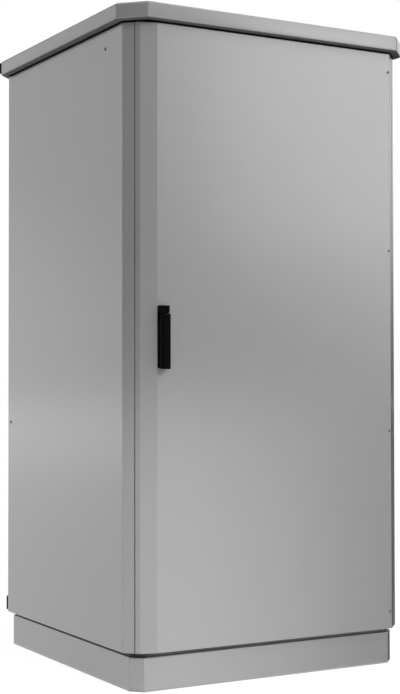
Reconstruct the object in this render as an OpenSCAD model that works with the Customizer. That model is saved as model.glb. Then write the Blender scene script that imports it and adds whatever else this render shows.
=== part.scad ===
// Roadside utility cabinet: a folded sheet-metal housing on a plinth, under a lifted roof hood.
// The door hangs on four hinges and is held by two lock rods that a swing handle drives.
// Millimetres. The front faces -Y, +X is to the viewer's right and the ground is Z = 0.

/* [Cabinet] */
// Width of the body over the side panels
body_w = 1000; // [900:10:1200]
// Depth of the body from the door face to the rear panel
body_d = 1000; // [900:10:1200]
// Height from the ground to the top edge of the roof fascia
total_h = 2035; // [1800:5:2200]
// Leg of the 45 degree chamfer on the vertical edges of the body
corner_c = 55; // [50:1:62]
// Thickness of the body sheet
sheet_t = 2; // [1.5:0.1:2.4]
// Outer radius of the sheet bends
bend_r = 5; // [4:0.5:7]
// Distance from the outer faces of the body to the frame inside it
frame_inset = 30; // [27:1:34]
// Thickness of the frame profiles
frame_t = 3; // [2:0.5:4]
// Width of the flanges of the base frame, the top frame and the plinth
flange_w = 60; // [50:1:75]

/* [Plinth and roof] */
// Height of the plinth
plinth_h = 100; // [80:5:200]
// Distance that the plinth stands back from the body
plinth_inset = 22; // [12:1:24]
// Leg of the chamfer at the corners of the plinth
plinth_c = 33; // [24:1:40]
// Radius of the anchor holes in the plinth
anchor_r = 7; // [5:0.5:9]
// Distance of the anchor holes from the faces of the plinth
anchor_edge = 38; // [30:1:44]
// Height of the shadow gap between plinth and body
base_gap = 15; // [8:1:20]
// Height of the base frame
base_h = 30; // [26:1:34]
// Height of the top frame
top_h = 25; // [22:1:34]
// Height of the roof fascia
fascia_h = 50; // [40:1:80]
// Overhang of the roof on all sides
roof_overhang = 25; // [10:1:60]
// Height of the gap between body and roof
roof_gap = 6; // [4:1:12]
// Rise of the roof crown above the fascia
roof_rise = 18; // [8:1:40]
// Distance of the roof bolts from the faces of the body
roof_bolt_edge = 68; // [64:1:74]

/* [Door] */
// Gap of the seams between neighbouring panels
seam_gap = 1.5; // [1.5:0.5:5]
// Distance from the left side face to the seam of the door
seam_run = 25.5; // [23:0.5:28]
// Distance from the left side face to the bend of the bevelled door edge
edge_run = 39; // [36:1:43]
// Distance from the left side face to the flat front of the door
bevel_run = 88; // [80:1:96]
// Depth of the folded door flanges
door_flange = 20; // [14:1:22]
// Thickness of the door seal
seal_t = 10; // [8:0.5:12]
// Width of the door seal
seal_w = 12; // [8:1:14]
// Width of the sealing rim round the opening
rim_w = 16; // [14:1:20]
// Depth of the channel round the opening
channel_d = 56; // [52:1:64]
// Distance from the right side face to the rim of the opening
hinge_margin = 98; // [92:1:120]
// Width of the door stiffener profile
stiffener_w = 35; // [25:1:50]
// Depth of the door stiffener profile
stiffener_d = 22; // [14:1:26]

/* [Hinges] */
// Distance of the first hinge screw from the lower edge of the door
hinge_low = 55; // [53:1:80]
// Distance of the last hinge screw from the upper edge of the door
hinge_high = 60; // [58:1:90]
// Distance of the hinge screws from the hinge-side bend of the door
hinge_screw_in = 6.5; // [6:0.5:12]
// Radius of the hinge knuckles
knuckle_r = 4; // [3.6:0.1:4.2]
// Radius of the hinge pins
pin_r = 2.5; // [2:0.1:2.8]
// Running clearance between a shaft and its bore
run_fit = 0.05; // [0.02:0.01:0.1]

/* [Handle and lock] */
// Width of the handle plate
handle_w = 33; // [32:0.5:36]
// Length of the handle plate
handle_len = 186; // [165:1:200]
// Height of the lower end of the handle plate above the ground
handle_z = 953; // [850:1:1100]
// Thickness of the handle plate
plate_t = 5; // [4:0.5:6]
// Height of the cylinder housing along the plate
housing_len = 23; // [20:1:40]
// Distance that the cylinder housing stands out from the door
housing_out = 22; // [16:0.5:25]
// Distance that the lever stands out from the door
lever_out = 32; // [29:0.5:35]
// Width of the lever
lever_w = 30; // [26:0.5:31]
// Radius of the key cylinder
cylinder_r = 6; // [5:0.5:8]
// Radius of the spindle
spindle_r = 6; // [5:0.5:6.5]
// Module of the pinion and the racks
gear_m = 2; // [1.8:0.05:2.2]
// Width of the lock rods
rod_w = 9; // [7:0.5:10]
// Thickness of the lock rods
rod_t = 5; // [4:0.5:6]

/* [Inside] */
// Distance of the mounting plate from the rear face of the body
plate_back = 160; // [130:5:300]
// Thickness of the mounting plate
mount_t = 2.5; // [2:0.5:4]
// Clear distance of the mounting plate from the side faces of the body
mount_side = 120; // [100:5:200]
// Clear distance of the mounting plate from the floor and the ceiling
mount_end = 110; // [80:5:300]
// Length of the earth bar
earth_len = 300; // [200:10:400]
// Length of the cable opening in the floor
gland_w = 400; // [360:10:460]
// Radius of the grommet holes in the gland plate
grommet_r = 30; // [20:1:34]

/* [Hidden] */
$fn = 40;
hw = body_w / 2;
hd = body_d / 2;
diag = sqrt(0.5);
chamfer_min = 6;
bend_steps = 3;
roof_z0 = total_h - fascia_h;
body_z1 = roof_z0 - roof_gap;
body_z0 = plinth_h + base_gap;
base_z1 = plinth_h + base_h;
floor_z = base_z1 + sheet_t;
top_z1 = body_z1 - 2 * sheet_t;
top_z0 = top_z1 - top_h;
skin_in = -hd + sheet_t;
lip_y = skin_in + seal_t;
back_y = -hd + channel_d;
slip = 0.2;

// Lock side: the seam of the door on the left front chamfer
seam_mid = [-hw + seam_run, -hd + corner_c - seam_run];
edge_bend = [-hw + edge_run, -hd + corner_c - edge_run];
handle_x = -hw + bevel_run + handle_w / 2;
gear_n = 12;
gear_rp = gear_m * gear_n / 2;
gear_alpha = 20;
gear_rb = gear_rp * cos(gear_alpha);
gear_ra = gear_rp + 0.8 * gear_m;
gear_rf = gear_rp - 1.1 * gear_m;
gear_slack = 0.4;
gear_half = (90 / gear_n) - gear_slack / 4 / gear_rp * 180 / PI;
rack_add = 0.62 * gear_m;
rack_ded = 1.1 * gear_m;
rod_near = gear_rp + rack_ded;
rod_far = rod_near + rod_w;
rod_clear = 2;
rod_y0 = skin_in + seal_t + rod_clear;
rod_y1 = rod_y0 + rod_t;
keeper_t = 4;
rod_top = top_z1 - 9;
rod_low = body_z0 + sheet_t + 3;
rod_side = 16;
lip_xl = handle_x + rod_far + rod_side;
lip_xr = hw - hinge_margin;
spindle_up = 14;
spindle_z = handle_z + spindle_up;
housing_z0 = handle_z + handle_len - housing_len;
cylinder_z = housing_z0 + housing_len / 2;
lever_gap = 1.5;
lever_clear = 4;
lever_back = plate_t + lever_clear;
lever_end = housing_z0 - lever_gap;
tongue_w = 9;
tongue_r = 6;
tongue_out = 9;
tongue_y = -hd - lever_back - tongue_out;
lever_pin_r = 2.5;
case_wall = 2.5;
case_off = 7;
case_deep = 8;
case_half = 40;
case_y0 = -hd + case_off;
case_y1 = rod_y1 + case_deep;
case_z0 = spindle_z - case_half;
case_z1 = spindle_z + case_half;
guide_end = 0.2;
guide_near = 0.69;
guide_low = [for (k = [guide_end, guide_near]) rod_low + k * (spindle_z - rod_low)];
guide_high = [for (k = [guide_end, guide_near]) rod_top - k * (rod_top - spindle_z)];

// Hinge side: the axis lies just under the face of the right front chamfer
knuckle_cover = 0.3;
hinge_deep = knuckle_r + knuckle_cover;
hinge_x = hw - corner_c / 2 - hinge_deep * diag;
hinge_y = -hd + corner_c / 2 + hinge_deep * diag;
door_clear = 1;
post_clear = 3.2;
door_side = knuckle_r + door_clear;
post_side = knuckle_r + post_clear;
hinge_z0 = body_z0 + hinge_low;
hinge_step = (body_z1 - hinge_high - hinge_z0) / 3;
hinge_gap = 0.5;
leaf_below = 30;
leaf_split = 5;
leaf_above = 20;
leaf_t = 2;
leaf_wide = 40;
leaf_deep = 18;
hinge_screw_x = hw - corner_c - hinge_screw_in;

// Rear side and inside
rear_in = frame_inset + frame_t;
post_leg = 55;
post_return = 25;
side_screw_up = 658;
side_screw_top = 55;
strut_h = 40;
strut_w = 28;
strut_z = [body_z0 + side_screw_up - strut_h / 2, body_z1 - side_screw_top - strut_h / 2];
mount_y = hd - plate_back;
mount_z0 = floor_z + mount_end;
mount_z1 = top_z0 - mount_end;
bracket_h = 60;
bracket_end = 70;
bracket_z = [mount_z0 + bracket_end, mount_z1 - bracket_end - bracket_h];
bracket_x0 = hw - rear_in - 1;
bracket_w = 30;
bracket_lap = 32;
earth_up = 40;
earth_z = mount_z0 + earth_up;
earth_t = 5;
earth_h = 25;
earth_off = 21;
gland_d = 180;
gland_lap = 20;
gland_t = 3;
grommet_step = 90;

body_grey = [0.62, 0.63, 0.63];
zinc_grey = [0.72, 0.73, 0.74];
handle_black = [0.06, 0.06, 0.06];
rubber_black = [0.09, 0.09, 0.09];
steel_grey = [0.55, 0.56, 0.58];
copper = [0.72, 0.43, 0.24];
frame_dark = [0.13, 0.13, 0.13];
screw_dark = [0.2, 0.2, 0.2];

// Chamfered outline of the body, moved inwards by an inset
function outline_chamfer(inset) = max(chamfer_min, corner_c - inset * (2 - sqrt(2)));
function plan(x, y, c) =
    [[x, -y + c], [x, y - c], [x - c, y], [-x + c, y], [-x, y - c], [-x, -y + c], [-x + c, -y], [x - c, -y]];
function outline(inset) = plan(hw - inset, hd - inset, outline_chamfer(inset));

// Points on the door seam: u along the chamfer towards the door, v inwards
function seam_at(u, v) = seam_mid + u * diag * [1, -1] + v * diag * [1, 1];
// Points at the hinge: u along the chamfer towards the side panel, v outwards from the axis
function hinge_at(u, v) = [hinge_x, hinge_y] + u * diag * [1, 1] + v * diag * [1, -1];
// Points on the rear left chamfer: u towards the rear panel, v inwards
function rear_at(u, v) = [-hw + corner_c / 2, hd - corner_c / 2] + u * diag * [1, 1] + v * diag * [1, -1];
function mirrored(p) = [-p[0], p[1]];
function hinge_z(i) = hinge_z0 + i * hinge_step;

// Folded sheet: a path is rounded at its bends and thickened to its left
function unit(v) = v / norm(v);
function left_of(v) = [-v[1], v[0]];
function turned(v, a) = [v[0] * cos(a) - v[1] * sin(a), v[0] * sin(a) + v[1] * cos(a)];
function bend_points(a, b, c, r, n) =
    let (p = unit(a - b), q = unit(c - b))
    let (half = acos(p * q) / 2)
    let (centre = b + unit(p + q) * r / sin(half))
    let (v0 = b + p * r / tan(half) - centre, v1 = b + q * r / tan(half) - centre)
    let (sweep = atan2(v0[0] * v1[1] - v0[1] * v1[0], v0 * v1))
    [for (k = [0 : n]) centre + turned(v0, sweep * k / n)];
function rounded(path, r, n) =
    let (last = len(path) - 1)
    [for (i = [0 : last])
        for (p = (i == 0 || i == last) ? [path[i]] : bend_points(path[i - 1], path[i], path[i + 1], r, n)) p];
function shifted(path, t) =
    let (last = len(path) - 1)
    [for (i = [0 : last])
        let (a = left_of(unit(path[min(i + 1, last)] - path[min(i, last - 1)])))
        let (b = left_of(unit(path[max(i, 1)] - path[max(i - 1, 0)])))
        let (m = unit(a + b))
        path[i] + m * t / (m * a)];

module folded(path, t, r) {
    bent = r > 0 ? rounded(path, r, bend_steps) : path;
    inner = shifted(bent, t);
    polygon(concat(bent, [for (i = [len(inner) - 1 : -1 : 0]) inner[i]]));
}

module upright(z0, z1) {
    translate([0, 0, z0])
        linear_extrude(z1 - z0)
            children();
}

module on_xz(y0, y1) {
    translate([0, y1, 0])
        rotate([90, 0, 0])
            linear_extrude(y1 - y0)
                children();
}

module on_yz(x0, x1) {
    translate([x0, 0, 0])
        rotate([90, 0, 90])
            linear_extrude(x1 - x0)
                children();
}

module block(low, high) {
    translate(low)
        cube(high - low);
}

module rod_z(p, r, z0, z1) {
    translate([p[0], p[1], z0])
        cylinder(r = r, h = z1 - z0);
}

module rod_y(x, z, r, y0, y1) {
    translate([x, y1, z])
        rotate([90, 0, 0])
            cylinder(r = r, h = y1 - y0);
}

module rod_x(y, z, r, x0, x1) {
    translate([x0, y, z])
        rotate([0, 90, 0])
            cylinder(r = r, h = x1 - x0);
}

module ring(inset, wide, z0, z1) {
    upright(z0, z1)
        difference() {
            polygon(outline(inset));
            polygon(outline(inset + wide));
        }
}

module frame_ring(low, high, width) {
    difference() {
        translate(low)
            square(high - low);
        translate(low + [width, width])
            square(high - low - 2 * [width, width]);
    }
}

// Plinth and base
plinth_hw = hw - plinth_inset;
plinth_hd = hd - plinth_inset;
bolt_in = 30;
bolt_x = hw - frame_inset - bolt_in;
bolt_y = hd / 2;
plinth_bolt_r = 5.8;
plinth_hex_r = 10.5;
plinth_head_h = 7.5;
plinth_nut_h = 10;
plinth_tail = 6;
foot_t = frame_t + 1;

module plinth_ring(wide, z0, z1) {
    upright(z0, z1)
        difference() {
            polygon(plan(plinth_hw, plinth_hd, plinth_c));
            polygon(plan(plinth_hw - wide, plinth_hd - wide,
                max(chamfer_min, plinth_c - wide * (2 - sqrt(2)))));
        }
}

module plinth() {
    color(body_grey)
        difference() {
            union() {
                plinth_ring(frame_t, 0, plinth_h);
                plinth_ring(flange_w, 0, foot_t);
                plinth_ring(flange_w, plinth_h - frame_t, plinth_h);
            }
            for (sx = [-1, 1])
                for (sy = [-1, 1]) {
                    rod_z([sx * (plinth_hw - anchor_edge), sy * (plinth_hd - anchor_edge)], anchor_r,
                        -1, foot_t + 1);
                    rod_z([sx * bolt_x, sy * bolt_y], plinth_bolt_r, plinth_h - frame_t - 1, plinth_h + 1);
                }
        }
}

module plinth_bolts() {
    color(steel_grey)
        for (sx = [-1, 1])
            for (sy = [-1, 1])
                translate([sx * bolt_x, sy * bolt_y, plinth_h]) {
                    rod_z([0, 0], plinth_bolt_r, -frame_t - plinth_nut_h - plinth_tail, frame_t);
                    translate([0, 0, frame_t])
                        cylinder(r = plinth_hex_r, h = plinth_head_h, $fn = 6);
                    translate([0, 0, -frame_t - plinth_nut_h])
                        cylinder(r = plinth_hex_r, h = plinth_nut_h, $fn = 6);
                }
}

module base_frame() {
    color(frame_dark)
        difference() {
            union() {
                ring(frame_inset, frame_t, plinth_h, base_z1);
                ring(frame_inset, flange_w, plinth_h, plinth_h + frame_t);
                ring(frame_inset, flange_w, base_z1 - frame_t, base_z1);
            }
            for (sx = [-1, 1])
                for (sy = [-1, 1])
                    rod_z([sx * bolt_x, sy * bolt_y], plinth_bolt_r, plinth_h - 1, plinth_h + frame_t + 1);
        }
}

gland_screw_r = 2.5;
gland_head_r = 5;
gland_head_h = 3.5;
gland_tail = 8;
gland_screw_x = gland_w / 2 + gland_lap / 2;
gland_screw_y = gland_d / 2 + gland_lap / 2;

module floor_plate() {
    color(zinc_grey)
        difference() {
            upright(base_z1, floor_z)
                polygon(outline(frame_inset));
            block([-gland_w / 2, -gland_d / 2, base_z1 - 1], [gland_w / 2, gland_d / 2, floor_z + 1]);
            for (sx = [-1, 1])
                for (sy = [-1, 1])
                    rod_z([sx * gland_screw_x, sy * gland_screw_y], gland_screw_r, base_z1 - 1, floor_z + 1);
        }
}

module gland_plate() {
    color(zinc_grey)
        difference() {
            block([-gland_w / 2 - gland_lap, -gland_d / 2 - gland_lap, floor_z],
                [gland_w / 2 + gland_lap, gland_d / 2 + gland_lap, floor_z + gland_t]);
            for (i = [-1.5 : 1 : 1.5])
                rod_z([i * grommet_step, 0], grommet_r, floor_z - 1, floor_z + gland_t + 1);
            for (sx = [-1, 1])
                for (sy = [-1, 1])
                    rod_z([sx * gland_screw_x, sy * gland_screw_y], gland_screw_r, floor_z - 1,
                        floor_z + gland_t + 1);
        }
}

module gland_screws() {
    color(steel_grey)
        for (sx = [-1, 1])
            for (sy = [-1, 1])
                translate([sx * gland_screw_x, sy * gland_screw_y, floor_z]) {
                    rod_z([0, 0], gland_screw_r, -gland_tail, gland_t);
                    rod_z([0, 0], gland_head_r, gland_t, gland_t + gland_head_h);
                }
}

lip = 4;
lip_wide = 6;
web_z0 = 0.5;
web_z1 = 2.5;

module cable_grommets() {
    color(rubber_black)
        for (i = [-1.5 : 1 : 1.5])
            translate([i * grommet_step, 0, floor_z])
                rotate_extrude()
                    polygon([[0, web_z0], [grommet_r - lip_wide, web_z0], [grommet_r - lip_wide + 1, -lip],
                        [grommet_r + lip, -lip], [grommet_r + lip, 0], [grommet_r, 0], [grommet_r, gland_t],
                        [grommet_r + lip_wide, gland_t], [grommet_r + lip, gland_t + lip],
                        [grommet_r - lip, gland_t + lip], [grommet_r - lip_wide, web_z1], [0, web_z1]]);
}

// Posts: the front ones carry the seam wall, the channel and the sealing rim
seam_deep = (back_y - seam_mid[1]) / diag - seam_gap / 2;
hinge_wall = post_side - (back_y - hinge_y) / diag;

module front_left_post() {
    color(zinc_grey)
        upright(floor_z, top_z0)
            folded([seam_at(-seam_gap / 2, sheet_t + slip), seam_at(-seam_gap / 2, seam_deep),
                [lip_xl, back_y], [lip_xl, lip_y], [lip_xl + rim_w, lip_y]], sheet_t, 0);
}

module front_right_post() {
    color(zinc_grey)
        upright(floor_z, top_z0)
            folded([[lip_xr - rim_w, lip_y], [lip_xr, lip_y], [lip_xr, back_y],
                hinge_at(post_side, hinge_wall), hinge_at(post_side, hinge_deep - sheet_t - slip)],
                sheet_t, 0);
}

module rear_post() {
    x = hw - rear_in;
    y = hd - rear_in;
    c = outline_chamfer(rear_in);
    difference() {
        upright(floor_z, top_z0)
            folded([[-x + c + post_leg, y - post_return], [-x + c + post_leg, y], [-x + c, y], [-x, y - c],
                [-x, y - c - post_leg], [-x + post_return, y - c - post_leg]], sheet_t, 0);
        rear_holes();
        side_hole(1);
        bracket_holes();
    }
}

module rear_left_post() {
    color(zinc_grey)
        rear_post();
}

module rear_right_post() {
    color(zinc_grey)
        mirror([1, 0, 0])
            rear_post();
}

rim_x0 = lip_xl + rim_w + slip;
rim_x1 = lip_xr - rim_w - slip;
inner_x0 = lip_xl + sheet_t + slip;
inner_x1 = lip_xr - sheet_t - slip;

module rim_strip(z0, z1, lip_z0, lip_z1) {
    block([inner_x0, lip_y + sheet_t + slip, z0], [inner_x1, back_y, z1]);
    block([rim_x0, lip_y, z0], [rim_x1, lip_y + 2 * sheet_t, z1]);
    block([rim_x0, lip_y, lip_z0], [rim_x1, lip_y + sheet_t, lip_z1]);
}

module front_sill() {
    color(zinc_grey)
        rim_strip(floor_z, floor_z + sheet_t, floor_z, floor_z + rim_w + sheet_t);
}

module front_header() {
    color(zinc_grey)
        rim_strip(top_z0 - sheet_t, top_z0, top_z0 - rim_w - sheet_t, top_z0);
}

// Top frame, top plate and roof
roof_bolt_r = 5;
roof_hex_r = 9.2;
roof_head_h = 7;
roof_nut_h = 9;
roof_tail = 3;
washer_r = 13;
washer_t = 2;
spacer_r = 14;

module at_roof_bolts() {
    for (sx = [-1, 1])
        for (sy = [-1, 1])
            translate([sx * (hw - roof_bolt_edge), sy * (hd - roof_bolt_edge), 0])
                children();
}

module top_frame() {
    color(frame_dark)
        difference() {
            union() {
                ring(frame_inset, frame_t, top_z0, top_z1);
                ring(frame_inset, flange_w, top_z0, top_z0 + frame_t);
                ring(frame_inset, flange_w, top_z1 - frame_t, top_z1);
            }
            at_roof_bolts()
                rod_z([0, 0], roof_bolt_r, top_z1 - frame_t - 1, top_z1 + 1);
        }
}

module top_plate() {
    color(zinc_grey)
        difference() {
            upright(top_z1, top_z1 + sheet_t)
                polygon(outline(frame_inset));
            at_roof_bolts()
                rod_z([0, 0], roof_bolt_r, top_z1 - 1, top_z1 + sheet_t + 1);
        }
}

crown_in = 150;
crown_flat = 60;

module crown(shift) {
    hull() {
        upright(total_h - sheet_t - shift, total_h - shift)
            polygon(outline(crown_in));
        upright(total_h + roof_rise - sheet_t - shift, total_h + roof_rise - shift)
            square(2 * crown_flat, center = true);
    }
}

module roof_hood() {
    color(body_grey)
        difference() {
            union() {
                upright(roof_z0, total_h)
                    polygon(outline(-roof_overhang));
                crown(0);
            }
            upright(roof_z0 - 1, total_h - sheet_t)
                polygon(outline(sheet_t - roof_overhang));
            crown(sheet_t);
            at_roof_bolts()
                rod_z([0, 0], roof_bolt_r, total_h - sheet_t - 1, total_h + 1);
        }
}

module roof_spacers() {
    color(frame_dark)
        at_roof_bolts()
            difference() {
                rod_z([0, 0], spacer_r, top_z1 + sheet_t, total_h - sheet_t);
                rod_z([0, 0], roof_bolt_r, top_z1, total_h);
            }
}

module roof_bolts() {
    color(steel_grey)
        at_roof_bolts()
            union() {
                rod_z([0, 0], roof_bolt_r, top_z1 - frame_t - roof_nut_h - roof_tail, total_h);
                rod_z([0, 0], washer_r, total_h, total_h + washer_t);
                translate([0, 0, total_h + washer_t])
                    cylinder(r = roof_hex_r, h = roof_head_h, $fn = 6);
                translate([0, 0, top_z1 - frame_t - roof_nut_h])
                    cylinder(r = roof_hex_r, h = roof_nut_h, $fn = 6);
            }
}

// Side panels, struts and rear panel
side_x = hw - frame_inset;
strut_x = hw - rear_in + 1;
strut_y0 = back_y + sheet_t;
strut_y1 = hd - rear_in - outline_chamfer(rear_in) - post_leg;
screw_r = 4;
head_r = 5;
head_h = 2;
screw_tail = 5;
sleeve_r = screw_r + 3;
side_screw_front = 171;
side_screw_back = 12;
side_front = [-hd + side_screw_front, body_z1 - side_screw_top];
side_rear = [hd - rear_in - outline_chamfer(rear_in) - side_screw_back, body_z0 + side_screw_up];

module side_hole(which) {
    p = which == 0 ? side_front : side_rear;
    rod_x(p[0], p[1], screw_r, -hw - 1, -strut_x + screw_tail + 1);
}

module strut(z) {
    difference() {
        union() {
            block([-strut_x, strut_y0, z], [-strut_x + sheet_t, strut_y1, z + strut_h]);
            block([-strut_x, strut_y0, z], [-strut_x + strut_w, strut_y1, z + sheet_t]);
            block([-strut_x, strut_y0, z + strut_h - sheet_t], [-strut_x + strut_w, strut_y1, z + strut_h]);
        }
        side_hole(0);
    }
}

module left_strut_low() {
    color(zinc_grey)
        strut(strut_z[0]);
}

module left_strut_high() {
    color(zinc_grey)
        strut(strut_z[1]);
}

module right_strut_low() {
    color(zinc_grey)
        mirror([1, 0, 0])
            strut(strut_z[0]);
}

module right_strut_high() {
    color(zinc_grey)
        mirror([1, 0, 0])
            strut(strut_z[1]);
}

panel_hook = 18;

module panel_flanges() {
    y = hd - corner_c;
    x_out = hw - sheet_t / 2;
    block([-x_out, -y, body_z0], [-side_x - slip, y, body_z0 + sheet_t]);
    block([-x_out, -y, body_z1 - sheet_t], [-side_x + panel_hook, y, body_z1]);
}

module left_side_panel() {
    color(body_grey)
        difference() {
            union() {
                upright(body_z0, body_z1)
                    folded([rear_at(-seam_gap / 2, 0), [-hw, hd - corner_c], [-hw, -hd + corner_c],
                        seam_at(-seam_gap / 2, 0)], sheet_t, bend_r);
                panel_flanges();
            }
            side_hole(0);
            side_hole(1);
        }
}

module right_side_panel() {
    color(body_grey)
        difference() {
            union() {
                upright(body_z0, body_z1)
                    folded([hinge_at(post_side, hinge_deep), [hw, -hd + corner_c], [hw, hd - corner_c],
                        mirrored(rear_at(-seam_gap / 2, 0))], sheet_t, bend_r);
                mirror([1, 0, 0])
                    panel_flanges();
            }
            mirror([1, 0, 0]) {
                side_hole(0);
                side_hole(1);
            }
        }
}

module side_screw(p, inner) {
    rod_x(p[0], p[1], head_r, -hw - head_h, -hw);
    rod_x(p[0], p[1], screw_r, -hw, -inner + screw_tail);
    rod_x(p[0], p[1], sleeve_r, -hw + sheet_t, -inner);
}

module side_panel_screws() {
    color(screw_dark)
        for (m = [0, 1])
            mirror([m, 0, 0]) {
                side_screw(side_front, strut_x);
                side_screw(side_rear, hw - rear_in);
            }
}

rear_screw_in = 14;
rear_screw_end = 90;
rear_screw_x = hw - rear_in - outline_chamfer(rear_in) - rear_screw_in;
rear_screw_z = [body_z0 + rear_screw_end, (body_z0 + body_z1) / 2, body_z1 - rear_screw_end];

module rear_holes() {
    for (z = rear_screw_z)
        rod_y(-rear_screw_x, z, screw_r, hd - rear_in - screw_tail - 1, hd + 1);
}

module rear_panel() {
    color(body_grey)
        difference() {
            union() {
                upright(body_z0, body_z1)
                    folded([mirrored(rear_at(seam_gap / 2, 0)), [hw - corner_c, hd], [-hw + corner_c, hd],
                        rear_at(seam_gap / 2, 0)], sheet_t, bend_r);
                block([-hw + corner_c, hd - frame_inset + slip, body_z0],
                    [hw - corner_c, hd - sheet_t / 2, body_z0 + sheet_t]);
                block([-hw + corner_c, hd - frame_inset - panel_hook, body_z1 - sheet_t],
                    [hw - corner_c, hd - sheet_t / 2, body_z1]);
            }
            rear_holes();
            mirror([1, 0, 0])
                rear_holes();
        }
}

module rear_panel_screws() {
    color(screw_dark)
        for (m = [0, 1])
            mirror([m, 0, 0])
                for (z = rear_screw_z) {
                    rod_y(-rear_screw_x, z, head_r, hd, hd + head_h);
                    rod_y(-rear_screw_x, z, screw_r, hd - rear_in - screw_tail, hd);
                    rod_y(-rear_screw_x, z, sleeve_r, hd - rear_in, hd - sheet_t);
                }
}

// Rubber buffers on the rear chamfers of the roof and of the side panels
buffer_out = 11;
buffer_w = 24;
buffer_h = 47;
buffer_up = 4;
roof_buffer_h = 36;
roof_buffer_up = 11;
roof_buffer_in = 8;
buffer_bore_r = 5;
buffer_bore = 3;

module buffer(p, z0, z1) {
    translate([p[0], p[1], z0])
        rotate([0, 0, 45])
            difference() {
                translate([-buffer_w / 2, 0, 0])
                    cube([buffer_w, buffer_out, z1 - z0]);
                translate([0, buffer_out - buffer_bore, (z1 - z0) / 2])
                    rotate([-90, 0, 0])
                        cylinder(r = buffer_bore_r, h = buffer_bore + 1);
            }
}

module wall_buffers() {
    roof_at = [-hw - roof_overhang, hd + roof_overhang - outline_chamfer(-roof_overhang)];
    color(rubber_black)
        for (m = [0, 1])
            mirror([m, 0, 0]) {
                buffer(rear_at(-seam_gap / 2 - buffer_w / 2 - 1, 0), body_z0 + buffer_up,
                    body_z0 + buffer_up + buffer_h);
                buffer(roof_at + (buffer_w / 2 + roof_buffer_in) * diag * [1, 1], roof_z0 + roof_buffer_up,
                    roof_z0 + roof_buffer_up + roof_buffer_h);
            }
}

// Mounting plate, its brackets and the earth bar
bracket_bolt_r = 4;
bracket_hex_r = 7.5;
bracket_head_h = 5.5;
bracket_tail = 9;
post_face = strut_y1;

module bracket_holes() {
    for (z = bracket_z)
        rod_y(-bracket_x0 + post_return / 2, z + bracket_h / 2, bracket_bolt_r,
            post_face - bracket_tail, post_face + bracket_tail);
}

module plate_holes() {
    for (sx = [-1, 1])
        for (z = bracket_z)
            rod_y(sx * (hw - mount_side - bracket_lap / 2), z + bracket_h / 2, bracket_bolt_r,
                mount_y - bracket_tail, mount_y + bracket_tail);
}

module mounting_plate() {
    color(zinc_grey)
        difference() {
            block([-hw + mount_side, mount_y - mount_t, mount_z0], [hw - mount_side, mount_y, mount_z1]);
            plate_holes();
            for (sx = [-1, 1])
                rod_y(sx * earth_x, earth_mid, earth_screw_r, mount_y - mount_t - 1, mount_y + 1);
        }
}

module plate_bracket(z) {
    y = post_face - sheet_t;
    difference() {
        upright(z, z + bracket_h)
            folded([[-bracket_x0, y], [-bracket_x0 + bracket_w, y], [-bracket_x0 + bracket_w, mount_y],
                [-hw + mount_side + bracket_lap, mount_y]], sheet_t, 0);
        bracket_holes();
        plate_holes();
    }
}

module plate_brackets() {
    color(steel_grey)
        for (m = [0, 1])
            mirror([m, 0, 0])
                for (z = bracket_z)
                    plate_bracket(z);
}

module bracket_bolt(x, z, y0, y1) {
    rod_y(x, z, bracket_bolt_r, y0, y1);
    translate([x, y0, z])
        rotate([90, 0, 0])
            cylinder(r = bracket_hex_r, h = bracket_head_h, $fn = 6);
}

module plate_bolts() {
    color(steel_grey)
        for (m = [0, 1])
            mirror([m, 0, 0])
                for (z = bracket_z) {
                    bracket_bolt(-hw + mount_side + bracket_lap / 2, z + bracket_h / 2, mount_y - mount_t,
                        mount_y + bracket_tail);
                    bracket_bolt(-bracket_x0 + post_return / 2, z + bracket_h / 2, post_face - sheet_t,
                        post_face + bracket_tail);
                }
}

earth_y1 = mount_y - mount_t - earth_off;
earth_end = 25;
earth_x = earth_len / 2 - earth_end;
earth_mid = earth_z + earth_h / 2;
earth_step = 24;
earth_hole_r = 4.5;
earth_screw_r = 3;
earth_head_r = 5.5;
earth_head_h = 4;
earth_tail = 4;
pillar_r = 9;

module earth_bar() {
    color(copper)
        difference() {
            block([-earth_len / 2, earth_y1 - earth_t, earth_z],
                [earth_len / 2, earth_y1, earth_z + earth_h]);
            for (sx = [-1, 1])
                rod_y(sx * earth_x, earth_mid, earth_screw_r, earth_y1 - earth_t - 1, earth_y1 + 1);
            for (i = [-2.5 : 1 : 2.5])
                rod_y(i * earth_step, earth_mid, earth_hole_r, earth_y1 - earth_t - 1, earth_y1 + 1);
        }
}

module earth_pillars() {
    color(handle_black)
        for (sx = [-1, 1])
            difference() {
                rod_y(sx * earth_x, earth_mid, pillar_r, earth_y1, mount_y - mount_t);
                rod_y(sx * earth_x, earth_mid, earth_screw_r, earth_y1 - 1, mount_y);
            }
}

module earth_screws() {
    color(steel_grey)
        for (sx = [-1, 1]) {
            rod_y(sx * earth_x, earth_mid, earth_screw_r, earth_y1 - earth_t, mount_y + earth_tail);
            rod_y(sx * earth_x, earth_mid, earth_head_r, earth_y1 - earth_t - earth_head_h,
                earth_y1 - earth_t);
        }
}

// Keepers of the lock rods, open towards the door
keeper_slot = rod_w + 4;
keeper_half = rod_w / 2 + 11;
keeper_reach = 4;
keeper_play = 1.5;
keeper_foot_t = 3;
keeper_foot_h = 20;

module keeper(x, z0, fix_z0, fix_z1) {
    y1 = -hd + frame_inset;
    y0 = rod_y0 - keeper_reach;
    difference() {
        block([x - keeper_half, y0, z0], [x + keeper_half, y1, z0 + keeper_t]);
        block([x - keeper_slot / 2, y0 - 1, z0 - 1],
            [x + keeper_slot / 2, rod_y1 + keeper_play, z0 + keeper_t + 1]);
    }
    block([x - keeper_half, y1 - keeper_foot_t, fix_z0], [x + keeper_half, y1, fix_z1]);
}

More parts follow.
